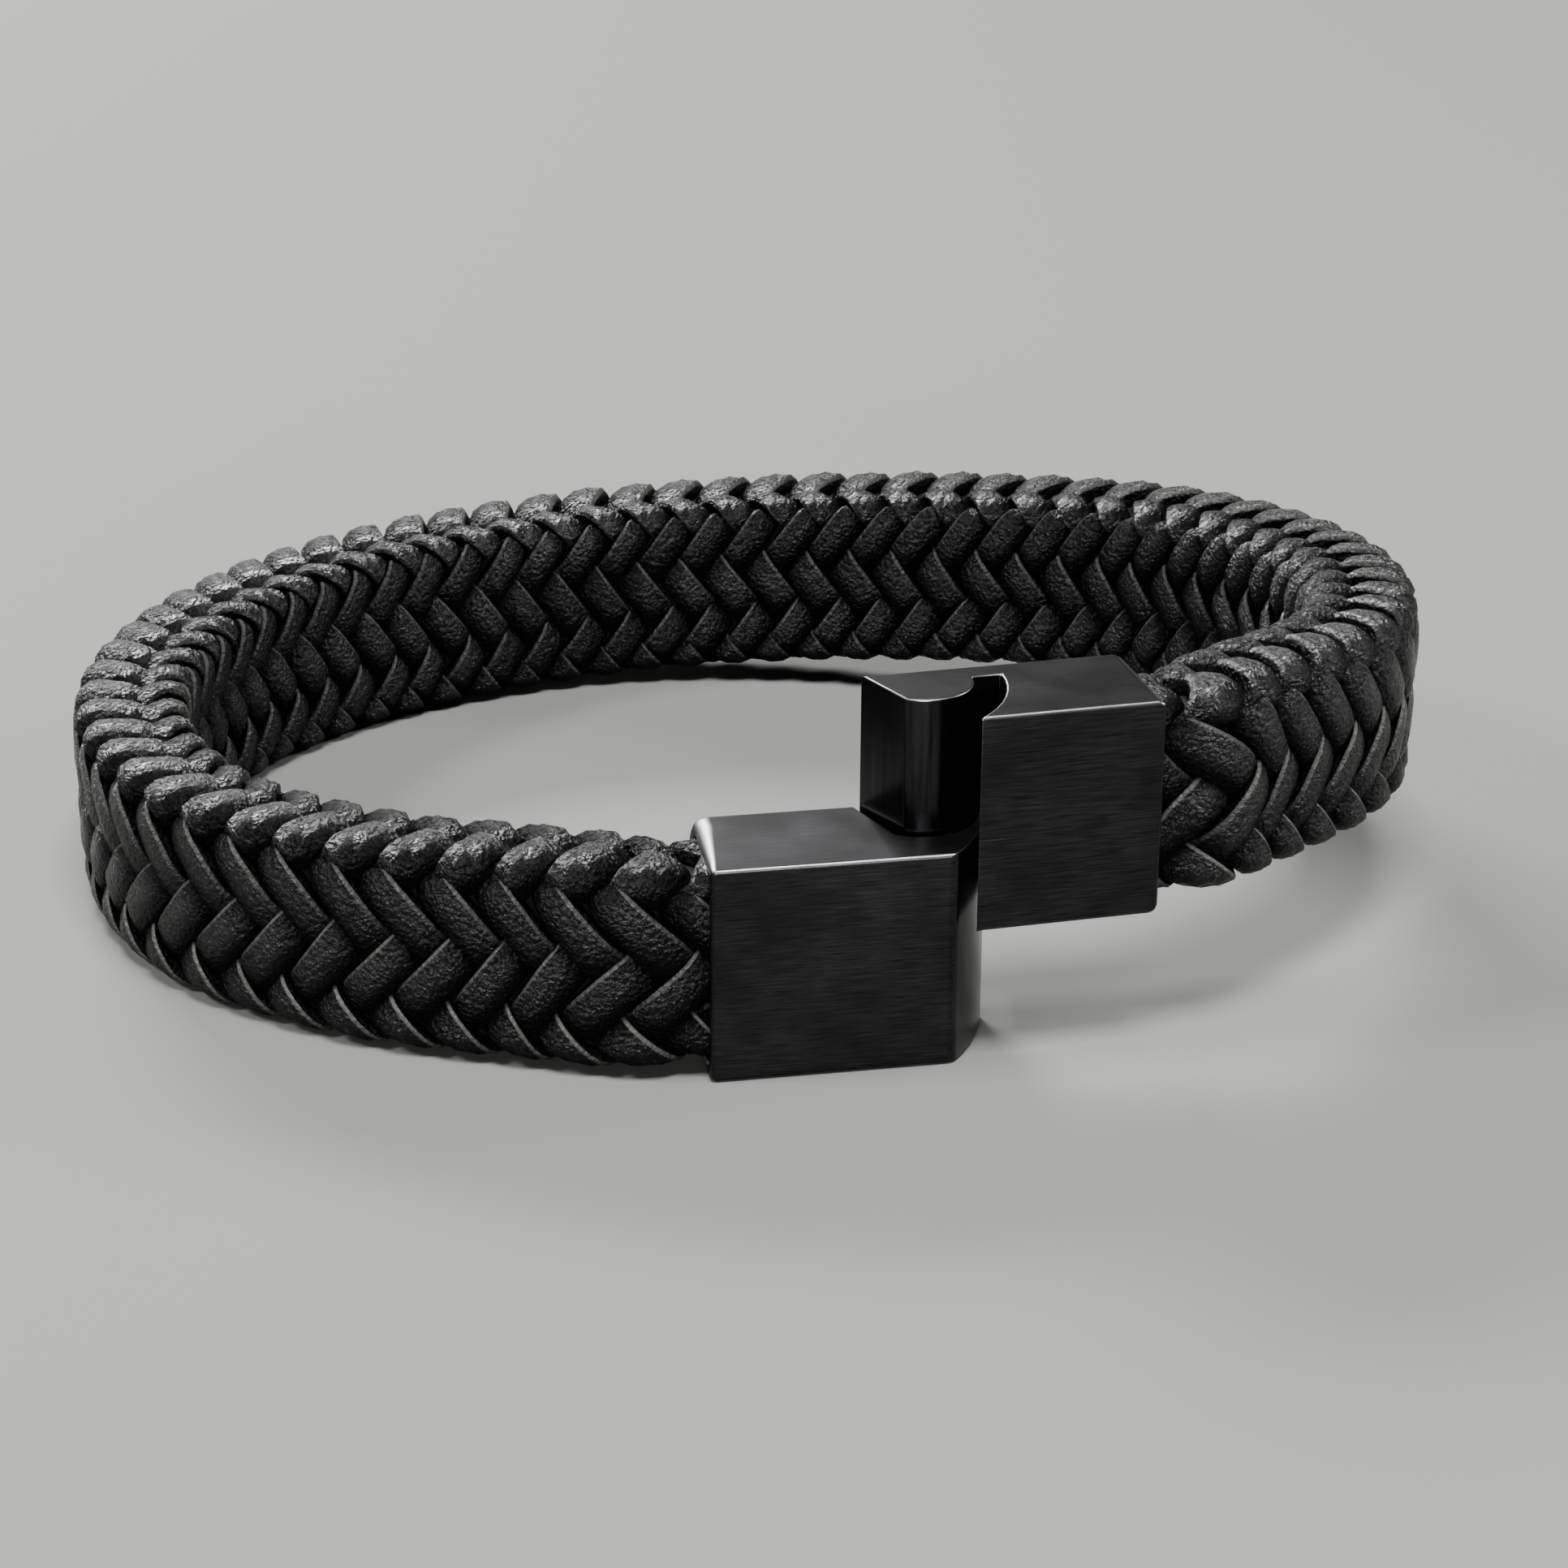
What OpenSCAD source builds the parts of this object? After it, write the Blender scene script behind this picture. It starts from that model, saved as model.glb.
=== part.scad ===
// Braided leather bracelet with a sliding hook clasp, lying on its side, the clasp half open.
// Millimetres. +Z is up, X runs along the clasp, +Y goes from the clasp to the back of the loop.
// The origin is on the resting surface, under the middle of the whole bracelet.

/* [Clasp] */
// Height of both clasp halves, across the width of the band
clasp_h = 12.8; // [12.6:0.1:14]
// Thickness of both clasp halves, front to back
clasp_t = 7.7; // [7.6:0.1:8.4]
// Length of the socket half's front face
socket_len = 13.6; // [13:0.1:15]
// Length of the hook half's front face
hook_len = 10.6; // [10:0.1:12]
// Gap between the closed halves on the front face
front_gap = 0.75; // [0.7:0.05:0.9]
// Radius of the rounded edges where the band enters
end_round = 0.7; // [0.65:0.05:0.85]
// Bevel along the long front and back edges
edge_bevel = 0.3; // [0.2:0.05:0.5]

/* [Hook] */
// How far the hook reaches past its block
hook_reach = 4.6; // [4.4:0.1:4.8]
// Radius of the hook's rounded nose
nose_r = 2.9; // [2.7:0.05:3]
// Thickness of the neck that carries the hook
neck_t = 1.7; // [1.5:0.1:1.9]
// Lean of the hook's far side, in degrees
hook_lean = 19; // [15:1:21]
// Radius of the hollow that the socket's lip fills
hollow_r = 8.1; // [7.9:0.1:8.3]
// Radius of the outer side of the socket's lip
lip_r = 12.5; // [12.3:0.1:12.7]
// Gap that the hook slides with
slide_gap = 0.45; // [0.4:0.05:0.5]

/* [Half open] */
// How far the hook half is slid up out of the socket
hook_lift = 7.9; // [5:0.1:10]
// Turn of the hook half in its play, in degrees
hook_turn = 3.7; // [0:0.1:4]
// How far the hook half has moved forward in its play
hook_forward = 0.1; // [0:0.05:0.15]

/* [Band] */
// Width of the band, top to bottom
band_h = 12.2; // [11.8:0.1:12.4]
// Thickness of the band
band_t = 6.9; // [6.5:0.1:7.4]
// Radius of the band's rounded edges
band_round = 1.7; // [1.5:0.1:2.4]
// Depth of the pocket that holds the band's end
pocket_depth = 5; // [4:0.5:6]
// Wall of the clasp round the band's end
pocket_wall = 0.5; // [0.45:0.05:0.6]
// Clearance between leather and metal
seat_gap = 0.25; // [0.2:0.05:0.35]
// Length over which the band swells out of its pocket
swell_len = 5; // [3:0.5:7]

/* [Hidden] */

leather_black = [0.11, 0.11, 0.115];
steel_black = [0.24, 0.24, 0.25];

// The loop's middle line, seen from above: [angle round the loop, distance from its centre]
LOOP = [
    [238, 30],
    [220, 32.5],
    [200, 35.75],
    [175, 37.25],
    [150, 36.25],
    [125, 34.25],
    [100, 32.5],
    [75, 31.5],
    [50, 32.25],
    [25, 35.5],
    [0, 37.75],
    [-25, 37.5],
    [-45, 34.5]
];
angle_col = 0;
distance_col = 1;

loop_centre = [-0.3, -1.8];

// Front left corner of the socket half, seen from above
socket_x = -7.4;
socket_y = -33.7;

// Share of the band's length at which it leaves the resting surface
lift_from = 0.42;
// Length over which the band settles from its pocket down to the surface
settle_len = 25;
// The band is straight inside its pocket and up to its mouth, then bends gently over the lead
mouth = 0.3;
lead = 2;
ring_count = 84;
corner_steps = 3;
arc_fn = 96;
cut = 1;

// Hook plan, measured from the front left corner of the hook half's block
nose_x = -1.6;
nose_y = clasp_t - neck_t;
hollow_y = nose_y + 0.3;
hollow_x = -sqrt(hollow_r * hollow_r - hollow_y * hollow_y);
lean_run = clasp_t * tan(hook_lean);

// Socket plan, measured from its own front left corner; the lip's arc starts on the front face
closed_x = socket_len + front_gap;
lip_y = clasp_t + 0.7;
lip_x = socket_len - sqrt(lip_r * lip_r - lip_y * lip_y);
slot_r = nose_r + slide_gap;
slot_shift = slide_gap / cos(hook_lean);

pocket_h = clasp_h - 2 * pocket_wall;
pocket_t = clasp_t - 2 * pocket_wall;
pocket_round = 1.5;

// Shared plan shapes of the clasp

// Everything to the right of a line that leans like the hook's far side
module right_of_lean(x) {
    polygon([
        [x, clasp_t],
        [x + lean_run, 0],
        [x + lean_run, -cut],
        [x + 3 * clasp_t, -cut],
        [x + 3 * clasp_t, clasp_t + cut],
        [x, clasp_t + cut]
    ]);
}

module hook_plan() {
    difference() {
        square([hook_len, clasp_t]);
        translate([hollow_x, hollow_y])
            circle(r = hollow_r, $fn = arc_fn);
    }
    intersection() {
        right_of_lean(-hook_reach);
        translate([-hook_reach, 0])
            square([hook_reach + hook_len / 2, clasp_t]);
        union() {
            translate([nose_x, nose_y])
                circle(r = nose_r, $fn = arc_fn);
            translate([-hook_reach, nose_y])
                square([hook_reach + hook_len / 2, neck_t]);
        }
    }
}

module socket_plan() {
    difference() {
        intersection() {
            square([closed_x + hook_len / 2, clasp_t]);
            union() {
                square([socket_len / 2, clasp_t]);
                translate([lip_x, lip_y])
                    circle(r = lip_r, $fn = arc_fn);
            }
        }
        intersection() {
            right_of_lean(closed_x - hook_reach - slot_shift);
            union() {
                translate([closed_x + nose_x, nose_y])
                    circle(r = slot_r, $fn = arc_fn);
                translate([0, nose_y - slide_gap])
                    square([closed_x + hook_len, clasp_t]);
            }
        }
    }
}

// A rectangle with the same radius at all four corners
module rounded_rectangle(wide, high, r) {
    translate([-wide / 2 + r, -high / 2])
        square([wide - 2 * r, high]);
    translate([-wide / 2, -high / 2 + r])
        square([wide, high - 2 * r]);
    for (x = [-1, 1], y = [-1, 1])
        translate([x * (wide / 2 - r), y * (high / 2 - r)])
            circle(r = r, $fn = arc_fn);
}

// A section drawn in Y and Z, carried along +X
module along_x(from, to) {
    translate([from, 0, 0])
        rotate([90, 0, 90])
            linear_extrude(to - from)
                children();
}

// An elevation drawn in X and Z, carried along +Y through the clasp's thickness
module through_thickness() {
    translate([0, clasp_t + cut, 0])
        rotate([90, 0, 0])
            linear_extrude(clasp_t + 2 * cut)
                children();
}

module beveled_section() {
    b = edge_bevel;
    polygon([
        [b, 0],
        [clasp_t - b, 0],
        [clasp_t, b],
        [clasp_t, clasp_h - b],
        [clasp_t - b, clasp_h],
        [b, clasp_h],
        [0, clasp_h - b],
        [0, b]
    ]);
}

// Elevation with its top and bottom edges rounded at the band's end, which lies at x = 0
module round_end_elevation(reach) {
    r = end_round;
    translate([r, 0])
        square([reach - r, clasp_h]);
    translate([0, r])
        square([r + cut, clasp_h - 2 * r]);
    for (z = [r, clasp_h - r])
        translate([r, z])
            circle(r = r, $fn = arc_fn);
}

module pocket(at_x, dir) {
    low = dir > 0 ? at_x - cut : at_x - pocket_depth;
    high = dir > 0 ? at_x + pocket_depth : at_x + cut;
    translate([0, clasp_t / 2, clasp_h / 2])
        along_x(low, high)
            rounded_rectangle(pocket_t, pocket_h, pocket_round);
}

// Moves the hook half from the socket half's plan to where it is slid half out
module place_hook() {
    translate([closed_x + nose_x, nose_y - hook_forward, hook_lift])
        rotate([0, 0, hook_turn])
            translate([-nose_x, -nose_y, 0])
                children();
}

module socket_half() {
    color(steel_black)
        translate([socket_x, socket_y, 0])
            difference() {
                intersection() {
                    linear_extrude(clasp_h)
                        socket_plan();
                    along_x(0, closed_x + hook_len)
                        beveled_section();
                    through_thickness()
                        round_end_elevation(closed_x + hook_len);
                }
                pocket(0, 1);
            }
}

module hook_half() {
    color(steel_black)
        translate([socket_x, socket_y, 0])
            place_hook()
                difference() {
                    intersection() {
                        linear_extrude(clasp_h)
                            hook_plan();
                        along_x(-hook_reach - cut, hook_len)
                            beveled_section();
                        translate([hook_len, 0, 0])
                            mirror([1, 0, 0])
                                through_thickness()
                                    round_end_elevation(hook_len + hook_reach + cut);
                    }
                    pocket(hook_len, -1);
                }
}

// The band: one closed leather body swept round the loop

// Plan point of the hook half, given in its own plan, moved as place_hook moves it
function hook_point(p) =
    let (
        dx = p[0] - nose_x,
        dy = p[1] - nose_y
    )
    [
        socket_x + closed_x + nose_x + dx * cos(hook_turn) - dy * sin(hook_turn),
        socket_y + nose_y - hook_forward + dx * sin(hook_turn) + dy * cos(hook_turn)
    ];

inner_end = pocket_depth - seat_gap;
start_deep = [socket_x + inner_end, socket_y + clasp_t / 2];
start_mouth = [socket_x - mouth, socket_y + clasp_t / 2];
start_lead = [socket_x - lead, socket_y + clasp_t / 2];
finish_lead = hook_point([hook_len + lead, clasp_t / 2]);
finish_mouth = hook_point([hook_len + mouth, clasp_t / 2]);
finish_deep = hook_point([hook_len - inner_end, clasp_t / 2]);

KNOTS = concat(
    [start_deep, start_mouth, start_lead],
    [for (row = LOOP) loop_centre + row[distance_col] * [cos(row[angle_col]), sin(row[angle_col])]],
    [finish_lead, finish_mouth, finish_deep]
);
last_knot = len(KNOTS) - 1;

function chord(i) = norm(KNOTS[i + 1] - KNOTS[i]);
function along_chord(i) = (KNOTS[i + 1] - KNOTS[i]) / chord(i);
function knot_length(i) = i == 0 ? 0 : knot_length(i - 1) + chord(i - 1);
REACHED = [for (i = [0:last_knot]) knot_length(i)];
loop_length = REACHED[last_knot];

// Direction of the middle line at a knot, from the chords on both sides
function knot_slope(i) =
    i == 0 ? along_chord(0) :
    i == last_knot ? along_chord(last_knot - 1) :
    (along_chord(i - 1) * chord(i) + along_chord(i) * chord(i - 1)) / (chord(i - 1) + chord(i));
SLOPES = [for (i = [0:last_knot]) knot_slope(i)];

function span_at(s, i = 0) = i >= last_knot - 1 || s < REACHED[i + 1] ? i : span_at(s, i + 1);

// Point of the middle line at a length s from its start
function loop_point(s) =
    let (
        i = span_at(s),
        c = chord(i),
        u = (s - REACHED[i]) / c,
        u2 = u * u,
        u3 = u2 * u
    )
    (2 * u3 - 3 * u2 + 1) * KNOTS[i] + (u3 - 2 * u2 + u) * c * SLOPES[i]
        + (3 * u2 - 2 * u3) * KNOTS[i + 1] + (u3 - u2) * c * SLOPES[i + 1];

function clamp01(v) = max(0, min(1, v));
function ease(v) = let (w = clamp01(v)) w * w * (3 - 2 * w);

// Height of the band's middle: centred in the socket half, then down on the surface, then rising
settle_drop = (clasp_h - band_h) / 2;
function middle_height(s) =
    let (settled = ease((s - inner_end - lead) / settle_len))
    clasp_h / 2 - settle_drop * settled
        + (hook_lift + settle_drop) * ease((s / loop_length - lift_from) / (1 - lift_from));

// Share of the full section: 0 inside a pocket, 1 where the band has swelled
function swell(s) =
    let (from_end = min(s, loop_length - s) - inner_end)
    ease(from_end / swell_len);

full_section = [band_t, band_h, band_round];
seated_section = [
    pocket_t - 2 * seat_gap,
    pocket_h - 2 * seat_gap,
    pocket_round - seat_gap
];

// Points round a rounded rectangle: [outwards, upwards]
function section_points(size) =
    let (
        r = size[2],
        x = size[0] / 2 - r,
        z = size[1] / 2 - r,
        CORNERS = [[x, z, 0], [-x, z, 90], [-x, -z, 180], [x, -z, 270]]
    )
    [
        for (corner = CORNERS, step = [0:corner_steps])
            let (a = corner[2] + 90 * step / corner_steps)
            [corner[0] + r * cos(a), corner[1] + r * sin(a)]
    ];
section_count = 4 * (corner_steps + 1);

// Ring places: close together where the band swells, even elsewhere
swell_rings = 4;
function ring_place(k) =
    k == 0 ? 0 :
    k <= swell_rings ? inner_end + swell_len * (k - 1) / (swell_rings - 1) :
    k >= ring_count - 1 - swell_rings ? loop_length - ring_place(ring_count - 1 - k) :
    let (
        first = inner_end + swell_len,
        steps = ring_count - 1 - 2 * swell_rings
    )
    first + (loop_length - 2 * first) * (k - swell_rings) / steps;

// One ring of the sweep, kept upright so that the band stands on its edge
function ring(s) =
    let (
        step = 0.05,
        a = loop_point(max(0, s - step)),
        b = loop_point(min(loop_length, s + step)),
        d = (b - a) / norm(b - a),
        out = [-d[1], d[0]],
        p = loop_point(s),
        z = middle_height(s),
        size = seated_section + (full_section - seated_section) * swell(s)
    )
    [for (q = section_points(size)) [p[0] + out[0] * q[0], p[1] + out[1] * q[0], z + q[1]]];

module braided_band() {
    points = [for (k = [0:ring_count - 1]) each ring(ring_place(k))];
    m = section_count;
    sides = [
        for (k = [0:ring_count - 2], j = [0:m - 1])
            let (n = (j + 1) % m)
            each [
                [k * m + j, (k + 1) * m + n, k * m + n],
                [k * m + j, (k + 1) * m + j, (k + 1) * m + n]
            ]
    ];
    start_cap = [[for (j = [0:m - 1]) j]];
    finish_cap = [[for (j = [m - 1:-1:0]) (ring_count - 1) * m + j]];
    color(leather_black)
        polyhedron(points = points, faces = concat(sides, start_cap, finish_cap), convexity = 8);
}

braided_band();
socket_half();
hook_half();
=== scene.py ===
# %% [markdown]
# A braided leather bracelet with a sliding hook clasp, lying on its side.
#
# The bracelet is a flat tube of soft black leather strips, braided in a herringbone, whose two
# ends are glued into the two halves of a black steel clasp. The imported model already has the
# true sizes, so this script only dresses it: the steel halves are made again with rounded edges,
# and the plain band is replaced by a braid of single strips.

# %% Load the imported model
import math
from collections import namedtuple

import bmesh
import bpy
from mathutils import Matrix, Vector


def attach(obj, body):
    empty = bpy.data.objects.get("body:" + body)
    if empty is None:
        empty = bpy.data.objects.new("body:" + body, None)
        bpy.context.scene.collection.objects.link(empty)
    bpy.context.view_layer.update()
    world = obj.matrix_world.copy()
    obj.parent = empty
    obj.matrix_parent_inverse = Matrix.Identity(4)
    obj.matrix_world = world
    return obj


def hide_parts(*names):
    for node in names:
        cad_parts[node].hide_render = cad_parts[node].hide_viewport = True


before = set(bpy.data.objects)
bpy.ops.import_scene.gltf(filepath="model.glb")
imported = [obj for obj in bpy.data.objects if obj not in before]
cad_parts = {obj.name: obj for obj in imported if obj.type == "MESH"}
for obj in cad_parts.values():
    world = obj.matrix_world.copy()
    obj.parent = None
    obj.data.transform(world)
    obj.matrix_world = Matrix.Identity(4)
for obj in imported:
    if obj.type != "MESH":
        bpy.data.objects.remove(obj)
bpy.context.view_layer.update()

MM = 0.001


# %% [markdown]
# The camera looks from where the photograph was taken: from the front, a little to the left, and
# down at the bracelet by 23 degrees through a long lens. It could be pointed with a Track To
# constraint, but that can't roll it, so its matrix is made from its right, up and backward
# directions. A camera looks along its own -Z with +Y up.

# %% Camera
CAMERA_AZIMUTH = math.radians(-10.777)
CAMERA_ELEVATION = math.radians(22.755)
CAMERA_ROLL = math.radians(0.311)
CAMERA_DISTANCE = 240.454 * MM
CAMERA_TARGET = Vector((4.435, 7.588, 0)) * MM
NEAREST_SEEN = 10 * MM
LENS = 83.85
SENSOR = 36


def new_object(name, data):
    """An object with this name and data, linked into the scene."""
    made = bpy.data.objects.new(name, data)
    bpy.context.collection.objects.link(made)
    return made


def look_from(azimuth, elevation, roll, distance, target):
    forward = Vector((-math.sin(azimuth) * math.cos(elevation),
                      math.cos(azimuth) * math.cos(elevation),
                      -math.sin(elevation)))
    right = Vector((math.cos(azimuth), math.sin(azimuth), 0))
    up = right.cross(forward)
    turned_right = right * math.cos(roll) + up * math.sin(roll)
    turned_up = up * math.cos(roll) - right * math.sin(roll)
    turn = Matrix((turned_right, turned_up, -forward)).transposed()
    return Matrix.Translation(target - forward * distance) @ turn.to_4x4()


camera_data = bpy.data.cameras.new("camera")
camera_data.lens = LENS
camera_data.sensor_width = SENSOR
camera_data.clip_start = NEAREST_SEEN
camera_data.dof.use_dof = False
camera = new_object("camera", camera_data)
camera.matrix_world = look_from(CAMERA_AZIMUTH, CAMERA_ELEVATION, CAMERA_ROLL,
                                CAMERA_DISTANCE, CAMERA_TARGET)
bpy.context.scene.camera = camera
print("camera at", [round(v / MM) for v in camera.location], "mm")

# %% [markdown]
# Every material and every Geometry Nodes tree below is made by the same small function. It adds a
# node, writes its settings, and fills its inputs: a number goes into the socket, and a pair of a
# node and an output name becomes a link. Colours are given as the hex values that a picture
# program shows, and one function turns them to the linear values that Blender calculates with.

# %% Helpers for materials and node trees
def add(tree, kind, inputs=None, **settings):
    """Adds a node. An input is called by its name, or by its number where names repeat."""
    made = tree.nodes.new(kind)
    for name, value in settings.items():
        setattr(made, name, value)
    for name, value in (inputs or {}).items():
        if isinstance(name, int):
            socket = made.inputs[name]
        else:
            socket = next(s for s in made.inputs if s.name == name and s.enabled)
        if isinstance(value, tuple) and isinstance(value[0], bpy.types.Node):
            source, output = value
            tree.links.new(next(s for s in source.outputs if s.name == output and s.enabled),
                           socket)
        else:
            socket.default_value = value
    return made


def linear(hex_colour):
    """Linear red, green, blue and alpha: the sRGB curve is straight near black, then a power."""
    parts = [int(hex_colour[i:i + 2], 16) / 255 for i in (1, 3, 5)]
    return (*[p / 12.92 if p <= 0.04045 else ((p + 0.055) / 1.055) ** 2.4 for p in parts], 1)


def new_material(name):
    made = bpy.data.materials.new(name)
    made.use_nodes = True
    made.node_tree.nodes.clear()
    return made, made.node_tree


print("#808080 is", [round(v, 3) for v in linear("#808080")], "in linear values")

# %% [markdown]
# The bracelet lies on a plain studio floor of pale matt paper. A real one curves up at the back,
# which would need a bent sheet, but this camera looks down, so one flat square fills the picture.
# The paper's fine tooth keeps it from being a single dead tone.

# %% Floor of pale paper
FLOOR_SIZE = 3.0
PAPER_TOOTH = 0.6
PAPER_TOOTH_DEPTH = 0.05


def pale_paper():
    made, tree = new_material("pale matt paper")
    where = add(tree, "ShaderNodeTexCoord")
    tooth = add(tree, "ShaderNodeTexNoise",
                {"Vector": (where, "Object"), "Scale": 1 / (PAPER_TOOTH * MM), "Detail": 2.0})
    grain = add(tree, "ShaderNodeBump",
                {"Strength": 0.15, "Distance": PAPER_TOOTH_DEPTH * MM, "Height": (tooth, "Fac")})
    shader = add(tree, "ShaderNodeBsdfPrincipled",
                 {"Base Color": linear("#575755"), "Roughness": 0.9, "Specular IOR Level": 0.1,
                  "Normal": (grain, "Normal")})
    add(tree, "ShaderNodeOutputMaterial", {"Surface": (shader, "BSDF")})
    return made


floor_mesh = bpy.data.meshes.new("floor")
side = FLOOR_SIZE / 2
floor_mesh.from_pydata([(-side, -side, 0), (side, -side, 0), (side, side, 0), (-side, side, 0)],
                       [], [(0, 1, 2, 3)])
floor_mesh.materials.append(pale_paper())
floor = new_object("floor", floor_mesh)
print("floor", FLOOR_SIZE, "m wide")

# %% [markdown]
# Black leather shows almost only mirrored light. One large soft light would make it a dull grey
# all over, so the soft boxes are small and bright, and stand where the surface throws their light
# to the camera: a strong one behind for everything that faces up, one on each side for the slanted
# strip edges, one overhead for the rounded top row and the long edges of the clasp, and a low one
# in front for the grain of the near side. The room itself adds only a faint grey.

# %% Soft boxes
ROOM_COLOUR = "#8c8c8c"
ROOM_STRENGTH = 0.15
# Name, place in metres, width and height of the soft box in metres, and power in watts
LIGHTS = (
    ("behind", (-0.20, 0.72, 0.44), (0.36, 0.16), 27.0),
    ("right", (0.62, 0.06, 0.32), (0.12, 0.12), 6.0),
    ("left", (-0.56, 0.02, 0.50), (0.14, 0.14), 9.0),
    ("overhead", (0.0, -0.20, 0.70), (0.28, 0.20), 19.0),
    ("front", (-0.06, -0.72, 0.16), (0.24, 0.06), 5.0),
)
for name, place, size, power in LIGHTS:
    light = bpy.data.lights.new(name, "AREA")
    light.shape = "RECTANGLE"
    light.size, light.size_y = size
    light.energy = power
    lamp = new_object(name, light)
    lamp.location = place
    lamp.rotation_euler = (-Vector(place)).to_track_quat("-Z", "Y").to_euler()
    print(name, "light", power, "W")

world = bpy.data.worlds.new("studio")
world.use_nodes = True
room = world.node_tree.nodes["Background"]
room.inputs["Color"].default_value = linear(ROOM_COLOUR)
room.inputs["Strength"].default_value = ROOM_STRENGTH
bpy.context.scene.world = world

# %% [markdown]
# The clasp's halves are cut from steel bar. Seen from above, each is one flat outline that is
# pulled up to the clasp's height: the hook ends in a round nose behind a hollow, and the socket's
# lip fills that hollow. The outlines could be traced, but they follow from a few radii, so they
# are built from lines and arcs that meet where the formulas say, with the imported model's sizes.
# Each outline has its own zero at the left end of its front face.

# %% Sizes of the clasp, in mm
CLASP_H = 12.8
CLASP_T = 7.7
SOCKET_LEN = 13.6
HOOK_LEN = 10.6
FRONT_GAP = 0.75
HOOK_REACH = 4.6
NOSE_R = 2.9
NECK_T = 1.7
LEAN = math.radians(19)
HOLLOW_R = 8.1
HOLLOW_BEHIND_NOSE = 0.3
LIP_R = 12.5
LIP_BEHIND_BACK = 0.7
SLIDE_GAP = 0.45

# How far the hook half's zero is from the socket half's when the clasp is closed
CLOSED_X = SOCKET_LEN + FRONT_GAP
# Centres of the arcs
NOSE = (-1.6, CLASP_T - NECK_T)
HOLLOW_Y = NOSE[1] + HOLLOW_BEHIND_NOSE
HOLLOW = (-math.sqrt(HOLLOW_R ** 2 - HOLLOW_Y ** 2), HOLLOW_Y)
LIP_Y = CLASP_T + LIP_BEHIND_BACK
LIP = (SOCKET_LEN - math.sqrt(LIP_R ** 2 - LIP_Y ** 2), LIP_Y)
SLOT = (CLOSED_X + NOSE[0], NOSE[1])
SLOT_R = NOSE_R + SLIDE_GAP
print("closed clasp", round(CLOSED_X + HOOK_LEN, 2), "x", CLASP_T, "x", CLASP_H, "mm")

# %% Arcs, and where they meet other lines
ARC_STEP = math.radians(6)


def arc(centre, radius, start, finish):
    steps = max(2, round(abs(finish - start) / ARC_STEP))
    turns = [start + (finish - start) * i / steps for i in range(steps + 1)]
    return [(centre[0] + radius * math.cos(a), centre[1] + radius * math.sin(a)) for a in turns]


def angle_at_height(centre, radius, y):
    """Angle of the point at height y on the circle's right side."""
    return math.asin((y - centre[1]) / radius)


def lean_meets_circle(foot_x, centre, radius):
    """Angle at which the leaning line from foot_x on the back face leaves a circle."""
    along = Vector((math.sin(LEAN), -math.cos(LEAN)))
    start = Vector((foot_x - centre[0], CLASP_T - centre[1]))
    b = start.dot(along)
    hit = start + along * (-b + math.sqrt(b * b - start.length_squared + radius ** 2))
    return math.atan2(hit.y, hit.x)


# %% Outlines of the two halves
def hook_outline():
    nose = arc(NOSE, NOSE_R, lean_meets_circle(-HOOK_REACH, NOSE, NOSE_R), 0)
    hollow = arc(HOLLOW, HOLLOW_R,
                 angle_at_height(HOLLOW, HOLLOW_R, NOSE[1]),
                 angle_at_height(HOLLOW, HOLLOW_R, 0))
    return [(HOOK_LEN, 0), (HOOK_LEN, CLASP_T), (-HOOK_REACH, CLASP_T)] + nose + hollow


def socket_outline():
    slot_foot = CLOSED_X - HOOK_REACH - SLIDE_GAP / math.cos(LEAN)
    lip_top = NOSE[1] - SLIDE_GAP
    lip = arc(LIP, LIP_R, angle_at_height(LIP, LIP_R, 0), angle_at_height(LIP, LIP_R, lip_top))
    slot = arc(SLOT, SLOT_R,
               angle_at_height(SLOT, SLOT_R, lip_top),
               lean_meets_circle(slot_foot, SLOT, SLOT_R))
    return [(0, 0)] + lip + slot + [(slot_foot, CLASP_T), (0, CLASP_T)]


print("hook outline", len(hook_outline()), "points, socket outline", len(socket_outline()))

# %% [markdown]
# A blank is the outline with a thickness. It could be drawn and then extruded in Edit Mode. Here
# one function joins rings of points to a closed solid, because the pocket's cutter and the leather
# strip below are rings as well. An outline that runs the other way round gives faces that point
# inwards, so they are turned outwards afterwards.

# %% Blanks cut from bar
def face_outwards(mesh, close_ends=False):
    work = bmesh.new()
    work.from_mesh(mesh)
    if close_ends:
        bmesh.ops.holes_fill(work, edges=[edge for edge in work.edges if edge.is_boundary])
    bmesh.ops.recalc_face_normals(work, faces=work.faces)
    work.to_mesh(mesh)
    work.free()


def closed_mesh(name, points, ring_size):
    """A mesh through points that come in rings: a face on each end, and quads in between."""
    last = len(points) - ring_size
    faces = [tuple(range(ring_size)), tuple(range(last, last + ring_size))]
    for low in range(0, last, ring_size):
        high = low + ring_size
        for i in range(ring_size):
            j = (i + 1) % ring_size
            faces.append((low + i, low + j, high + j, high + i))
    mesh = bpy.data.meshes.new(name)
    mesh.from_pydata([Vector(p) * MM for p in points], [], faces)
    face_outwards(mesh)
    return mesh


def blank(name, outline):
    points = [(x, y, z) for z in (0, CLASP_H) for x, y in outline]
    made = new_object(name, closed_mesh(name, points, len(outline)))
    print(name, len(made.data.polygons), "faces")
    return made


socket_half = blank("socket_half_steel", socket_outline())
hook_half = blank("hook_half_steel", hook_outline())
# Where each half's end for the leather is, and which way is into the half from there
ENDS = ((socket_half, 0, 1), (hook_half, HOOK_LEN, -1))

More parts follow.
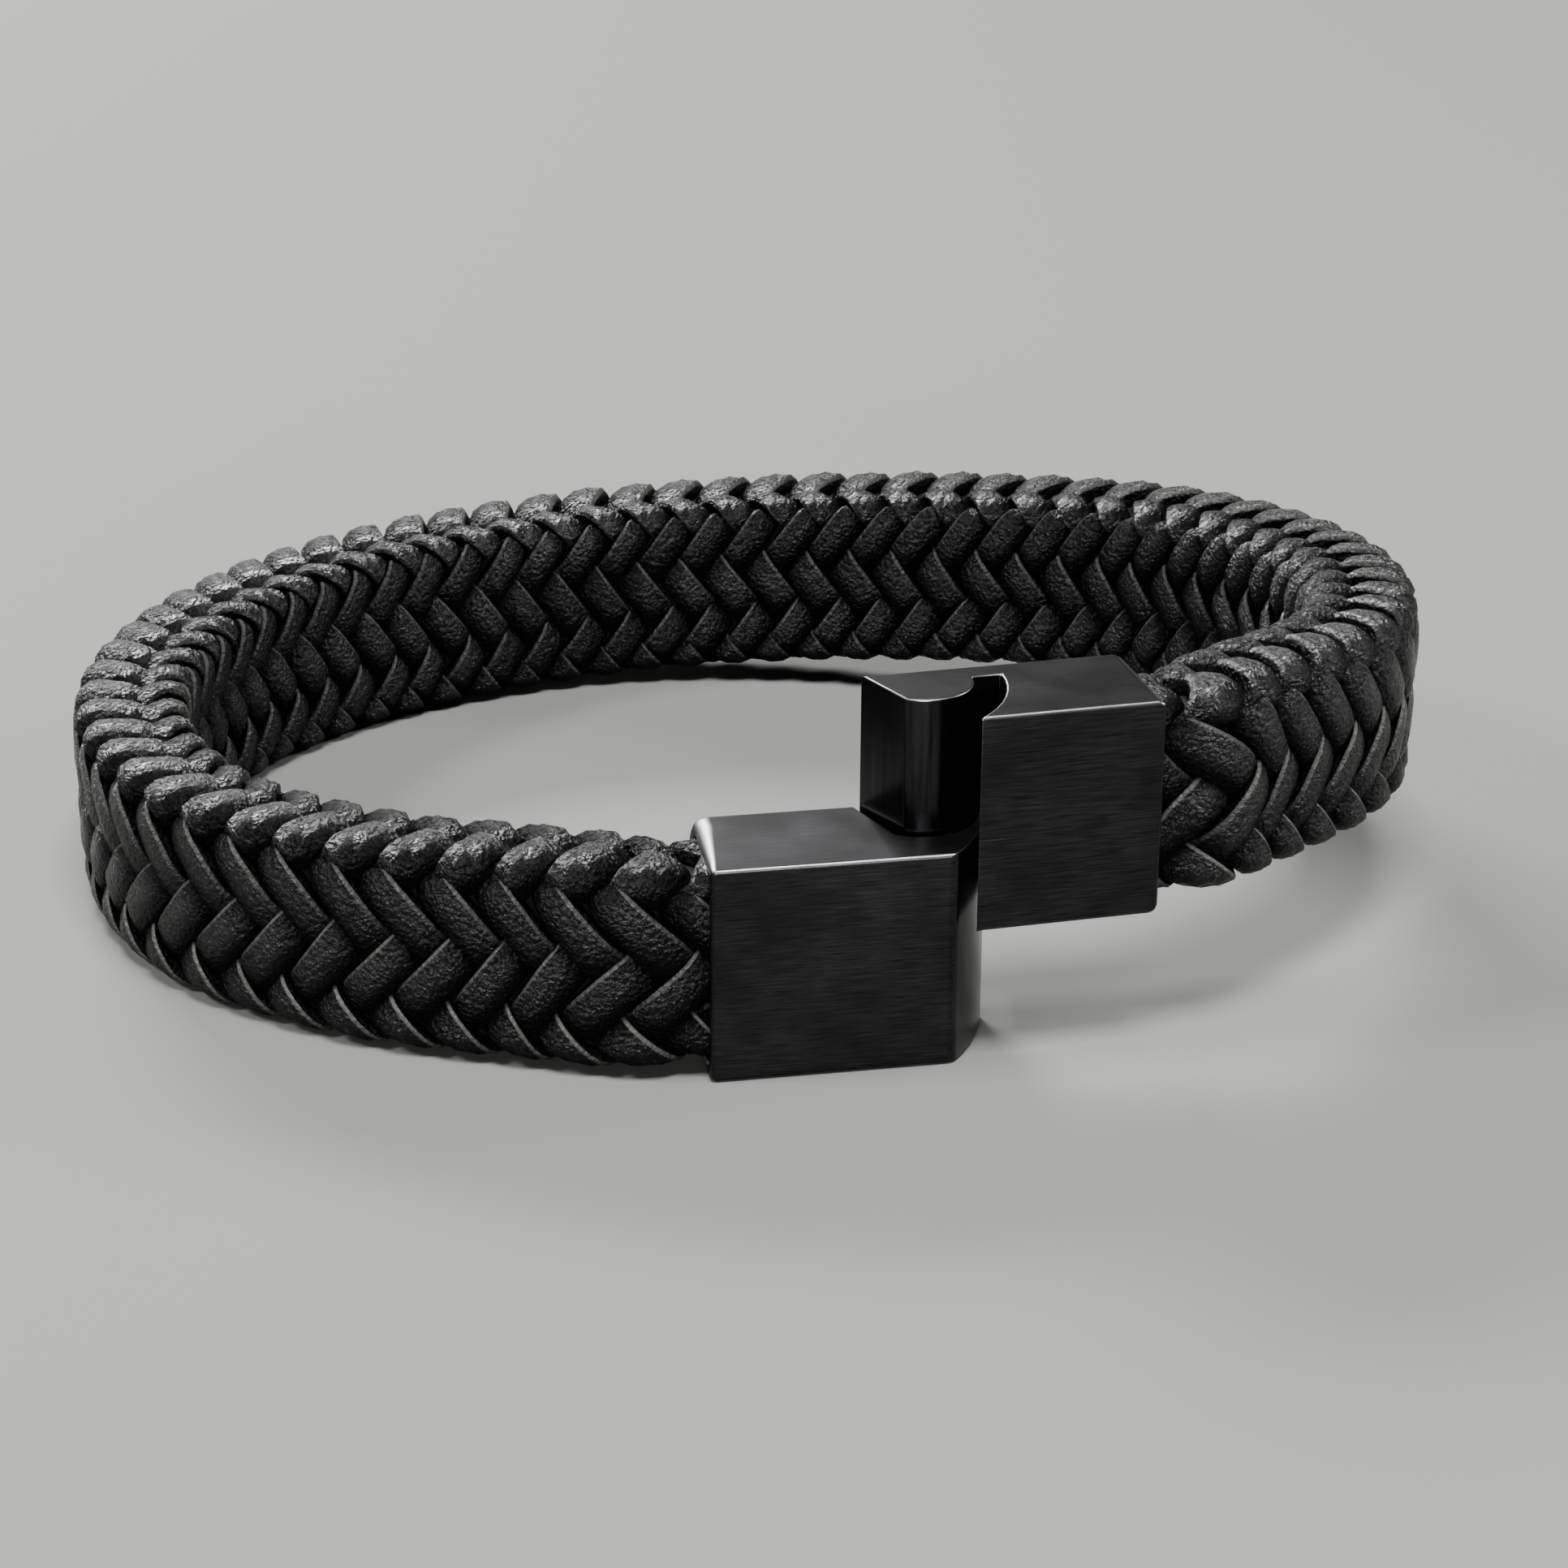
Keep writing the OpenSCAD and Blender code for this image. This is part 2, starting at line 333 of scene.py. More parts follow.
# %% [markdown]
# A plain box edge looks like a drawing, because no real edge is that sharp. The edges could be
# rounded one by one with Ctrl B, but a Bevel modifier rounds them all by a weight that each edge
# carries. So the end edges, which rub on the sleeve, are rounder than the crisp front ones, and
# the socket half's upper end edge gets rounder towards the back, for which it is cut into a few
# lengths first.

# %% Round the edges
# Radius of each kind of edge, in mm
FRONT_TOP = 0.22
FRONT_BOTTOM = 0.5
BACK_LONG = 0.4
END_EDGE = 0.65
END_CORNER = 0.3
LIP_EDGE = 0.4
CUT_RIM = 0.12
# The socket half's upper end edge, from the front to the back
END_TOP_FRONT = 0.25
END_TOP_BACK = 1.25
END_TOP_CUTS = 4
# The bevel's own width, of which each edge's weight is a share
LARGEST = END_TOP_BACK
BEVEL_STEPS = 6
SHARP = math.radians(25)
NEAR = 0.02


def apply_modifiers(piece):
    """Replaces the piece's mesh by what its modifiers make of it."""
    seen = piece.evaluated_get(bpy.context.evaluated_depsgraph_get())
    made = bpy.data.meshes.new_from_object(seen)
    piece.modifiers.clear()
    old = piece.data
    piece.data = made
    bpy.data.meshes.remove(old)


def edge_round(a, b, end_x):
    """How round the edge from a to b is, in mm, by where it lies on the half."""
    middle = (a + b) / 2
    level = abs(a.z - b.z) < NEAR
    upper = middle.z > CLASP_H / 2
    on_socket = end_x == 0
    if level and abs(middle.y) < NEAR:
        return FRONT_TOP if upper else FRONT_BOTTOM
    if level and abs(middle.y - CLASP_T) < NEAR:
        return BACK_LONG
    if level and on_socket and abs(middle.x) < NEAR and upper:
        return END_TOP_FRONT + (END_TOP_BACK - END_TOP_FRONT) * middle.y / CLASP_T
    if abs(middle.x - end_x) < NEAR:
        crisp = on_socket and not upper if level else middle.y < CLASP_T / 2
        return END_CORNER if crisp else END_EDGE
    if on_socket and not level and middle.y < NEAR:
        return LIP_EDGE
    return CUT_RIM


def round_edges(half, end_x):
    work = bmesh.new()
    work.from_mesh(half.data)
    end_top = [edge for edge in work.edges
               if end_x == 0 and all(abs(v.co.x) < NEAR * MM and v.co.z > CLASP_H / 2 * MM
                                     for v in edge.verts)]
    bmesh.ops.subdivide_edges(work, edges=end_top, cuts=END_TOP_CUTS)
    weight = work.edges.layers.float.new("bevel_weight_edge")
    for edge in work.edges:
        if edge.calc_face_angle() > SHARP:
            ends = [v.co / MM for v in edge.verts]
            edge[weight] = edge_round(ends[0], ends[1], end_x) / LARGEST
    work.to_mesh(half.data)
    work.free()
    bevel = half.modifiers.new("rounded edges", "BEVEL")
    bevel.limit_method = "WEIGHT"
    bevel.width = LARGEST * MM
    bevel.segments = BEVEL_STEPS
    bevel.use_clamp_overlap = False
    apply_modifiers(half)
    print(half.name, "rounded,", len(half.data.polygons), "faces")


for half, end_x, _ in ENDS:
    round_edges(half, end_x)

# %% [markdown]
# The end of the leather is glued into a milled pocket. Its walls could be drawn into the half
# face by face, but a Boolean modifier takes a second solid out of the first in one step, as the
# mill does. The cutter's last tenth of a millimetre flares, which leaves the mouth's small
# chamfer.

# %% Cut the pockets
POCKET_DEPTH = 5.0
POCKET_WALL = 0.5
POCKET_ROUND = 1.5
MOUTH_FLARE = 0.12
CORNER_STEPS = 8


def rounded_rectangle(wide, high, r):
    corners = ((1, 1, 0), (-1, 1, 90), (-1, -1, 180), (1, -1, 270))
    points = []
    for sx, sy, start in corners:
        centre = (sx * (wide / 2 - r), sy * (high / 2 - r))
        turns = [math.radians(start + 90 * i / CORNER_STEPS) for i in range(CORNER_STEPS + 1)]
        points += [(centre[0] + r * math.cos(a), centre[1] + r * math.sin(a)) for a in turns]
    return points


def cut_pocket(half, end_x, inward):
    wide, high = CLASP_T - 2 * POCKET_WALL, CLASP_H - 2 * POCKET_WALL
    flared = rounded_rectangle(wide + 2 * MOUTH_FLARE, high + 2 * MOUTH_FLARE,
                               POCKET_ROUND + MOUTH_FLARE)
    straight = rounded_rectangle(wide, high, POCKET_ROUND)
    rings = ((flared, end_x - inward), (flared, end_x),
             (straight, end_x + inward * MOUTH_FLARE), (straight, end_x + inward * POCKET_DEPTH))
    points = [(x, u + CLASP_T / 2, v + CLASP_H / 2) for ring, x in rings for u, v in ring]
    cutter = new_object("pocket", closed_mesh("pocket", points, len(flared)))
    cut = half.modifiers.new("pocket", "BOOLEAN")
    cut.operation = "DIFFERENCE"
    cut.solver = "EXACT"
    cut.object = cutter
    apply_modifiers(half)
    bpy.data.objects.remove(cutter)
    print(half.name, "with its pocket,", len(half.data.polygons), "faces")


for half, end_x, inward in ENDS:
    cut_pocket(half, end_x, inward)

# %% [markdown]
# The plating is paler on the rounded edges that look both up and out: partly wear where hands and
# sleeves rub, and partly a painted highlight where the light from above falls on them. That could be
# drawn as a texture, but each face's own direction says it, so it is stored on the faces for the
# material to read. The part of an end edge that looks towards the leather keeps less of it, which
# paints shade on that rounding. The same pass gives the milled faces, which are the nose, its groove
# and the slot, their own material slot. Weighted normals then keep the large faces flat beside the
# rounded edges.

# %% Mark the worn edges, with their painted highlight, and the milled faces
# Wear and painted highlight grow this fast with how much a face looks both up and out, from a small
# start
WEAR_AND_HIGHLIGHT_GAIN = 2.0
WEAR_AND_HIGHLIGHT_START = 0.2
# A face that looks along the band by more than this keeps only a share of its wear and highlight,
# which paints shade on the end's rounding
END_SHADE_FROM = 0.5
END_SHADE_SHARE = 0.3
# Brushed are the outer faces, the part round the pocket and a little past it, and what looks up
BRUSHED_PAST_POCKET = 0.2
FACES_UP = 0.5
SHADING_BREAK = math.radians(32)


def mark_faces(half, end_x):
    half.data.materials.append(None)
    half.data.materials.append(None)
    worn = half.data.attributes.new("worn", "FLOAT", "FACE").data
    for face in half.data.polygons:
        x, y, _ = face.center / MM
        out = math.hypot(face.normal.x, face.normal.y)
        rubbed_and_lit = WEAR_AND_HIGHLIGHT_GAIN * min(out, face.normal.z) - WEAR_AND_HIGHLIGHT_START
        # Less paleness on the end's rounding: painted shade there
        if abs(face.normal.x) > END_SHADE_FROM:
            rubbed_and_lit *= END_SHADE_SHARE
        worn[face.index].value = min(1, max(0, rubbed_and_lit))
        outer = y < CUT_RIM + NEAR or y > CLASP_T - BACK_LONG
        near_band = abs(x - end_x) < POCKET_DEPTH + BRUSHED_PAST_POCKET
        brushed = outer or near_band or abs(face.normal.z) > FACES_UP
        face.material_index = 0 if brushed else 1


def even_shading(half):
    for face in half.data.polygons:
        face.use_smooth = True
    half.data.set_sharp_from_angle(angle=SHADING_BREAK)
    half.modifiers.new("flat faces", "WEIGHTED_NORMAL").keep_sharp = True
    apply_modifiers(half)


for half, end_x, _ in ENDS:
    mark_faces(half, end_x)
    even_shading(half)
    milled = sum(face.material_index for face in half.data.polygons)
    print(half.name, milled, "milled faces of", len(half.data.polygons))

# %% [markdown]
# The clasp is half open. The socket half stands on the floor, and the hook half has slid up in
# the slot and turned a little in its play, about the middle of its nose. The objects could be
# moved, but a finished piece stays at the origin, so each place goes into the mesh.

# %% Put the halves in their places
SOCKET_CORNER = (-7.4, -33.7)
HOOK_LIFT = 7.9
HOOK_TURN = math.radians(3.7)
HOOK_FORWARD = 0.1

socket_half.data.transform(Matrix.Translation(Vector((*SOCKET_CORNER, 0)) * MM))
to_nose = Matrix.Translation(-Vector((*NOSE, 0)) * MM)
lifted = Matrix.Translation(Vector((SOCKET_CORNER[0] + CLOSED_X + NOSE[0],
                                    SOCKET_CORNER[1] + NOSE[1] - HOOK_FORWARD,
                                    HOOK_LIFT)) * MM)
HOOK_PLACE = lifted @ Matrix.Rotation(HOOK_TURN, 4, "Z") @ to_nose
hook_half.data.transform(HOOK_PLACE)
print("hook half lifted", HOOK_LIFT, "mm, turned", round(math.degrees(HOOK_TURN), 1), "degrees")

# %% [markdown]
# The clasp is stainless steel with a thin black plating, so it mirrors the room only faintly. Its
# flat faces were brushed lengthwise first: fine lines a tenth of a millimetre wide, and a few
# deeper ones that catch the light. The hook, its groove and the slot were milled with an upright
# cutter and are smoother, with faint upright lines. Anisotropy could imitate such lines, but up
# close they are seen one by one, so noise that is stretched along the tool's path draws them, once
# as tone and once as bump. Soft noise over a few millimetres makes the plating uneven in tone and
# gloss. On the rounded upper edges it is paler, partly thin where hands rub and partly a painted
# highlight where the light from above falls.

# %% Black steel, brushed or milled
# Stretch of the lines along each axis, width and depth of a line in mm, least and greatest
# roughness, and share of the deeper lines
BRUSHED = {"stretch": (0.045, 1, 1), "width": 0.10, "depth": 0.015, "rough": (0.30, 0.40),
           "deep_share": 0.28}
MILLED = {"stretch": (1, 1, 0.04), "width": 0.3, "depth": 0.006, "rough": (0.20, 0.27),
          "deep_share": 0.22}
# The deeper lines come from coarser noise, where it passes a mark and this much more
DEEP_SCALE = 0.45
DEEP_FULL = 0.12
# Size of the clouds in the plating, in mm
CLOUD = 3.5


def tool_marks(tree, where, turn, stretch, width, deep_share):
    """Fine lines along the tool's path, and the few deeper ones."""
    turned = add(tree, "ShaderNodeMapping", {"Vector": (where, "Object"), "Rotation": (0, 0, -turn)})
    along = add(tree, "ShaderNodeMapping", {"Vector": (turned, "Vector"), "Scale": stretch})
    fine = add(tree, "ShaderNodeTexNoise",
               {"Vector": (along, "Vector"), "Scale": 1 / (width * MM), "Detail": 4.0,
                "Roughness": 0.65})
    sparse = add(tree, "ShaderNodeTexNoise",
                 {"Vector": (along, "Vector"), "Scale": DEEP_SCALE / (width * MM), "Detail": 1.0})
    deep = add(tree, "ShaderNodeMapRange",
               {"Value": (sparse, "Fac"), "From Min": 1 - deep_share,
                "From Max": 1 + DEEP_FULL - deep_share})
    return fine, deep


def black_steel(name, turn, stretch, width, depth, rough, deep_share):
    made, tree = new_material(name)
    where = add(tree, "ShaderNodeTexCoord")
    fine, deep = tool_marks(tree, where, turn, stretch, width, deep_share)
    cloudy = add(tree, "ShaderNodeTexNoise",
                 {"Vector": (where, "Object"), "Scale": 1 / (CLOUD * MM), "Detail": 3.0})
    lined = add(tree, "ShaderNodeMapRange",
                {"Value": (fine, "Fac"), "From Min": 0.30, "From Max": 0.70})
    mixed = add(tree, "ShaderNodeMath", {0: (lined, "Result"), 1: (cloudy, "Fac")},
                operation="MULTIPLY")
    tone = add(tree, "ShaderNodeMix",
               {"Factor": (mixed, "Value"), "A": linear("#1a1a1c"), "B": linear("#444446")},
               data_type="RGBA")
    scratched = add(tree, "ShaderNodeMix",
                    {"Factor": (deep, "Result"), "A": (tone, "Result"), "B": linear("#3a3a3c")},
                    data_type="RGBA")
    # Paler plating on the edges that look up and out: partly wear, partly a painted highlight
    edge = add(tree, "ShaderNodeAttribute", attribute_name="worn")
    worn = add(tree, "ShaderNodeMix",
               {"Factor": (edge, "Fac"), "A": (scratched, "Result"), "B": linear("#606062")},
               data_type="RGBA")
    gloss = add(tree, "ShaderNodeMapRange",
                {"Value": (cloudy, "Fac"), "To Min": rough[0], "To Max": rough[1]})
    height = add(tree, "ShaderNodeMath", {0: (fine, "Fac"), 1: (deep, "Result")},
                 operation="SUBTRACT")
    lines = add(tree, "ShaderNodeBump",
                {"Strength": 0.5, "Distance": depth * MM, "Height": (height, "Value")})
    shader = add(tree, "ShaderNodeBsdfPrincipled",
                 {"Base Color": (worn, "Result"), "Metallic": 1.0,
                  "Roughness": (gloss, "Result"), "Normal": (lines, "Normal")})
    add(tree, "ShaderNodeOutputMaterial", {"Surface": (shader, "BSDF")})
    return made


for half, node_name, turn in ((socket_half, "socket_half", 0), (hook_half, "hook_half", HOOK_TURN)):
    half.data.materials[0] = black_steel(f"brushed black steel {node_name}", turn, **BRUSHED)
    half.data.materials[1] = black_steel(f"milled black steel {node_name}", turn, **MILLED)
    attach(half, "root")
    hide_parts(node_name)
    print(half.name, "is", half.data.materials[0].name, "and", half.data.materials[1].name)

# %% [markdown]
# The band's middle line is the same route as in the imported model: out of the socket half's
# pocket, round the loop through a few listed distances, and into the hook half's pocket, with
# its height rising after the back of the loop. A Bezier curve with handles could be drawn over it,
# but it would miss the imported model's line a little, so the same formula gives its points.

# %% Middle line of the band
BAND_H = 12.2
BAND_T = 6.9
BAND_ROUND = 1.7
SEAT_GAP = 0.25
# The line runs straight through two points outside each pocket's mouth
MOUTH = 0.3
LEAD = 2.0
# It sinks from the pocket's middle to the floor over this length, and rises from this share on
SETTLE_LEN = 25.0
LIFT_FROM = 0.42
LOOP_CENTRE = Vector((-0.3, -1.8))
# Angle round the loop in degrees, distance from its centre in mm
LOOP = (
    (238, 30), (220, 32.5), (200, 35.75), (175, 37.25), (150, 36.25), (125, 34.25),
    (100, 32.5), (75, 31.5), (50, 32.25), (25, 35.5), (0, 37.75), (-25, 37.5), (-45, 34.5),
)
ROUTE_STEPS = 400
INNER_END = POCKET_DEPTH - SEAT_GAP


def hook_point(u):
    """A point on the hook half's middle line, u along it, moved as the hook half is."""
    p = HOOK_PLACE @ (Vector((u, CLASP_T / 2, 0)) * MM)
    return Vector((p.x, p.y)) / MM


def socket_point(u):
    return Vector((SOCKET_CORNER[0] + u, SOCKET_CORNER[1] + CLASP_T / 2))


def knots():
    """The points that the middle line passes through."""
    ring = [LOOP_CENTRE + d * Vector((math.cos(math.radians(a)), math.sin(math.radians(a))))
            for a, d in LOOP]
    start = [socket_point(u) for u in (INNER_END, -MOUTH, -LEAD)]
    finish = [hook_point(HOOK_LEN + u) for u in (LEAD, MOUTH, -INNER_END)]
    return start + ring + finish


def ease(v):
    """Goes from 0 to 1 with a soft start and a soft end."""
    w = min(1, max(0, v))
    return w * w * (3 - 2 * w)


def band_route(steps):
    """Points of the middle line, by cubic pieces between the knots."""
    k = knots()
    chord = [(b - a).length for a, b in zip(k, k[1:])]
    along = [(b - a) / c for a, b, c in zip(k, k[1:], chord)]
    reached = [sum(chord[:i]) for i in range(len(k))]
    slope = [along[0]]
    slope += [(along[i - 1] * chord[i] + along[i] * chord[i - 1]) / (chord[i - 1] + chord[i])
              for i in range(1, len(k) - 1)]
    slope += [along[-1]]
    drop = (CLASP_H - BAND_H) / 2
    points = []
    for step in range(steps + 1):
        s = reached[-1] * step / steps
        i = max(j for j in range(len(chord)) if reached[j] <= s or j == 0)
        u, c = (s - reached[i]) / chord[i], chord[i]
        p = ((2 * u ** 3 - 3 * u ** 2 + 1) * k[i] + (u ** 3 - 2 * u ** 2 + u) * c * slope[i]
             + (3 * u ** 2 - 2 * u ** 3) * k[i + 1] + (u ** 3 - u ** 2) * c * slope[i + 1])
        z = (CLASP_H / 2 - drop * ease((s - INNER_END - LEAD) / SETTLE_LEN)
             + (HOOK_LIFT + drop) * ease((s / reached[-1] - LIFT_FROM) / (1 - LIFT_FROM)))
        points.append(Vector((p.x, p.y, z)))
    return points


route_points = band_route(ROUTE_STEPS)
BAND_LENGTH = sum((b - a).length for a, b in zip(route_points, route_points[1:]))
print("band", round(BAND_LENGTH, 1), "mm long")

# %% [markdown]
# Geometry Nodes will bend the whole braid along two curves, so both are made as curve objects:
# the route, and the band's rounded section, which starts at the middle of its outer side and goes
# up. A Curve modifier could follow the route as well, but it would tilt the section where the
# route climbs, and a braided band stays upright.

# %% Route and section as curves
def curve_object(name, points, closed):
    data = bpy.data.curves.new(name, "CURVE")
    data.dimensions = "3D"
    spline = data.splines.new("POLY")
    spline.points.add(len(points) - 1)
    for point, place in zip(spline.points, points):
        point.co = (*(Vector(place).to_3d() * MM), 1)
    spline.use_cyclic_u = closed
    return new_object(name, data)


section_points = [(BAND_T / 2, 0)] + rounded_rectangle(BAND_T, BAND_H, BAND_ROUND)
AROUND = 2 * (BAND_T + BAND_H) - (8 - 2 * math.pi) * BAND_ROUND
route = curve_object("band_route", route_points, False)
section = curve_object("band_section", section_points, True)
print("band", round(AROUND, 1), "mm around")

# %% [markdown]
# In a herringbone braid every strip lies on top for one row, dives under the strips of the next
# row and comes up again in the row after it. Whole strips could be woven from end to end, but only
# the stretch on top shows, so one such stretch is modelled once: a crowned strip of leather with
# cut edges. Its upper edge stands a little proud and catches the light, its lower edge rolls down
# against the next strip, and its two ends dive under the neighbouring rows, cut along their slant.

# %% One stretch of strip
# In mm: from strip to strip along the band, the gap between two, a strip's length, how far each
# end is tucked under the next row, how deep it dives there, and how thick the leather is
PITCH = 3.185
SLANT = math.radians(52)
GAP = 0.07
STRIP_W = PITCH * math.sin(SLANT) - GAP
STRIP_L = 4.95
TUCK = 1.05
DIVE = 1.35
THICK = 0.9
END_SKEW = 1 / math.tan(math.pi - 2 * SLANT)
# Across the strip from its lower to its upper edge: share of the half width, height in mm, how
# much of the paler cut edge shows, which is raw fibres and a painted highlight on the upper edge,
# and how polished the leather is, its dull lower side being painted shade
STRIP_PROFILE = (
    (-1.0, -THICK, 0, 0), (-1.0, -0.54, 0, 0), (-0.80, -0.20, 0, 0.05), (-0.38, 0.04, 0, 0.3),
    (0.20, 0.14, 0, 1), (0.84, 0.09, 0, 1), (0.88, 0.07, 1, 1), (1.0, -0.08, 1, 0.5),
    (1.0, -0.13, 0, 0), (1.0, -THICK, 0, 0),
)
# Along the strip from its foot: share of its half length, and share of the dive there. Short
# steps at the bends keep the crest round
STRIP_STATIONS = (
    (-1.0, 1.0), (-0.83, 0.62), (-0.66, 0.30), (-0.46, 0.08), (-0.28, 0.01), (-0.10, 0.0),
    (0.10, 0.0), (0.30, 0.0), (0.44, 0.03), (0.58, 0.12), (0.69, 0.28), (0.80, 0.50), (1.0, 1.0),
)
# Hands rub the strip from this share of its half length up, and the painted highlight on its cut
# edge is full from there. Its foot keeps less of the paler edge and of the polish, which paints
# shade on it.
RUBBED_AND_LIT_FROM = -0.7
BARE_AND_LIT_AT_FOOT = 0.2
POLISH_AT_SHADED_FOOT = 0.4


def strip_mesh():
    half = STRIP_L / 2 + TUCK
    points, raw, polish = [], [], []
    for share, dive in STRIP_STATIONS:
        rubbed_and_lit = min(1, max(0, share - RUBBED_AND_LIT_FROM))
        # The paler edge grows towards the tip: raw fibres and a painted highlight
        bare = BARE_AND_LIT_AT_FOOT + (1 - BARE_AND_LIT_AT_FOOT) * rubbed_and_lit
        # Less polish at the foot and where the strip dives: painted shade
        polish_and_shade_along = (POLISH_AT_SHADED_FOOT + (1 - POLISH_AT_SHADED_FOOT) * rubbed_and_lit) * (1 - dive)
        for across, height, cut, polish_and_shade_across in STRIP_PROFILE:
            y = across * STRIP_W / 2
            x = share * half + y * END_SKEW
            points.append((x, y, height - DIVE * dive))
            raw.append(cut * bare)
            polish.append(polish_and_shade_across * polish_and_shade_along)
    mesh = closed_mesh("strip", points, len(STRIP_PROFILE))
    mesh.attributes.new("raw_edge", "FLOAT", "POINT").data.foreach_set("value", raw)
    mesh.attributes.new("polish", "FLOAT", "POINT").data.foreach_set("value", polish)
    flat = mesh.uv_layers.new(name="strip_map")
    for loop in mesh.loops:
        flat.data[loop.index].uv = points[loop.vertex_index][:2]
    return mesh


strip = new_object("strip", strip_mesh())
print("one strip", len(strip.data.polygons), "faces")

# %% [markdown]
# Ten rows go round the band, and they lean to the left and to the right in turn. The strips could
# be placed one by one, but each row is one point with a few numbers, so the whole pattern can be
# read from one short table. The rows on the wrist side are turned round, because up is the other
# way there. The last row turns over the band's upper outer edge. Its strips stand steeper, wider
# and rounder than elsewhere, and their feet reach further down into the row below.

# %% Rows of the braid
# middle: of the row round the section, in mm. lean: left is above 0, and steeper is further from
# 0. turned: turned round or not. puff and width: how rounded and wide its strips are. Then how
# bare their paler cut edges are, which also sets their painted highlight. foot: how much further
# down their feet reach, in mm
Row = namedtuple("Row", "middle lean turned puff width bare foot")
ROWS = (
    Row(2.3, 1, 0, 1.0, 1.0, 0.7, 0), Row(-1.58, -1, 0, 1.0, 1.0, 0.8, 0),
    Row(-5.75, 1, 0, 0.8, 1.0, 1.0, 0), Row(-9.5, -1, 0, 0.6, 1.0, 0.4, 0),
    Row(-11.9, 1, 1, 0.8, 1.0, 0.4, 0), Row(-14.2, -1, 1, 1.0, 1.0, 0.5, 0),
    Row(-17.4, 1, 1, 1.0, 1.0, 0.5, 0), Row(-20.9, -1, 1, 1.0, 1.0, 0.5, 0),
    Row(-24.4, 1, 0, 1.2, 0.96, 0.3, 0), Row(-28.1, -1.3, 0, 1.7, 1.12, 0.6, 0.85),
)
# In mm: how far one more puff lifts a strip, where the first strip's tip is along the band, how
# far a tip is from its strip's middle, and how far the rows that lean right are shifted
RISE = 0.25
FIRST_TIP = 8.45
TIP_TO_MIDDLE = 0.72
RIGHT_LEAN_SHIFT = 0.17


def rows_object():
    heights = [row.middle for row in ROWS]
    above = [heights[-1] + AROUND] + heights[:-1]
    below = heights[1:] + [heights[0] - AROUND]
    points, stretch = [], []
    for row, up, down in zip(ROWS, above, below):
        slant = SLANT * abs(row.lean)
        way = math.copysign(1, row.lean)
        first = FIRST_TIP - 2 * PITCH - TIP_TO_MIDDLE
        if row.lean < 0:
            first += RIGHT_LEAN_SHIFT + 2 * TIP_TO_MIDDLE - PITCH
        # A steeper strip keeps its foot where the row below covers it
        first -= way * (row.middle - down) / 2 * (1 / math.tan(SLANT) - 1 / math.tan(slant))
        # A longer foot draws the strip's middle down along its lean
        first -= way * row.foot / 2 * math.cos(slant)
        middle = row.middle - row.foot / 2 * math.sin(slant)
        points.append(Vector((first, middle, RISE * (row.puff - 1))) * MM)
        length = (up - down) / 2 / math.sin(slant) / STRIP_L + row.foot / (STRIP_L + 2 * TUCK)
        stretch.append(way * length)
    mesh = bpy.data.meshes.new("rows")
    mesh.from_pydata(points, [], [])
    given = {name: [getattr(row, name) for row in ROWS]
             for name in ("lean", "turned", "puff", "width", "bare")}
    for name, values in (given | {"stretch": stretch}).items():
        mesh.attributes.new(name, "FLOAT", "POINT").data.foreach_set("value", values)
    return new_object("braided_strips", mesh)


braid = rows_object()
print(len(braid.data.vertices), "rows, one point for each")

# %% [markdown]
# The braid is made flat, where it is easy: x is the way along the band, y the way round its
# section and z the height above the leather. One group of nodes then bends anything that was made
# flat onto the band. It takes the place on the route for x and the place on the section for y,
# and makes the band thinner where it goes into its pockets. A few helpers keep the sums short.

# %% Helpers for sums in Geometry Nodes
def new_tree(name, sockets):
    tree = bpy.data.node_groups.new(name, "GeometryNodeTree")
    tree.interface.new_socket("Geometry", in_out="OUTPUT", socket_type="NodeSocketGeometry")
    for socket_name, kind in sockets:
        tree.interface.new_socket(socket_name, in_out="INPUT", socket_type=f"NodeSocket{kind}")
    return tree, add(tree, "NodeGroupInput")


def maths(tree, operation, a, b=0.0):
    return add(tree, "ShaderNodeMath", {0: a, 1: b}, operation=operation), "Value"


def joined(tree, x, y, z):
    """A vector from three numbers."""
    return add(tree, "ShaderNodeCombineXYZ", {"X": x, "Y": y, "Z": z}), "Vector"


def parts(tree, vector):
    """The three numbers of a vector."""
    split = add(tree, "ShaderNodeSeparateXYZ", {"Vector": vector})
    return (split, "X"), (split, "Y"), (split, "Z")


# %% Group that bends flat work onto the band
BAND_SOCKETS = (("Route", "Object"), ("Section", "Object"), ("Around", "Float"),
                ("Band length", "Float"), ("Seat from", "Float"), ("Seat to", "Float"))
SEATED_SHARE_T = (CLASP_T - 2 * POCKET_WALL - 2 * SEAT_GAP) / BAND_T
SEATED_SHARE_H = (CLASP_H - 2 * POCKET_WALL - 2 * SEAT_GAP) / BAND_H
SQUEEZE_FROM = 3.0
SQUEEZE = 0.55


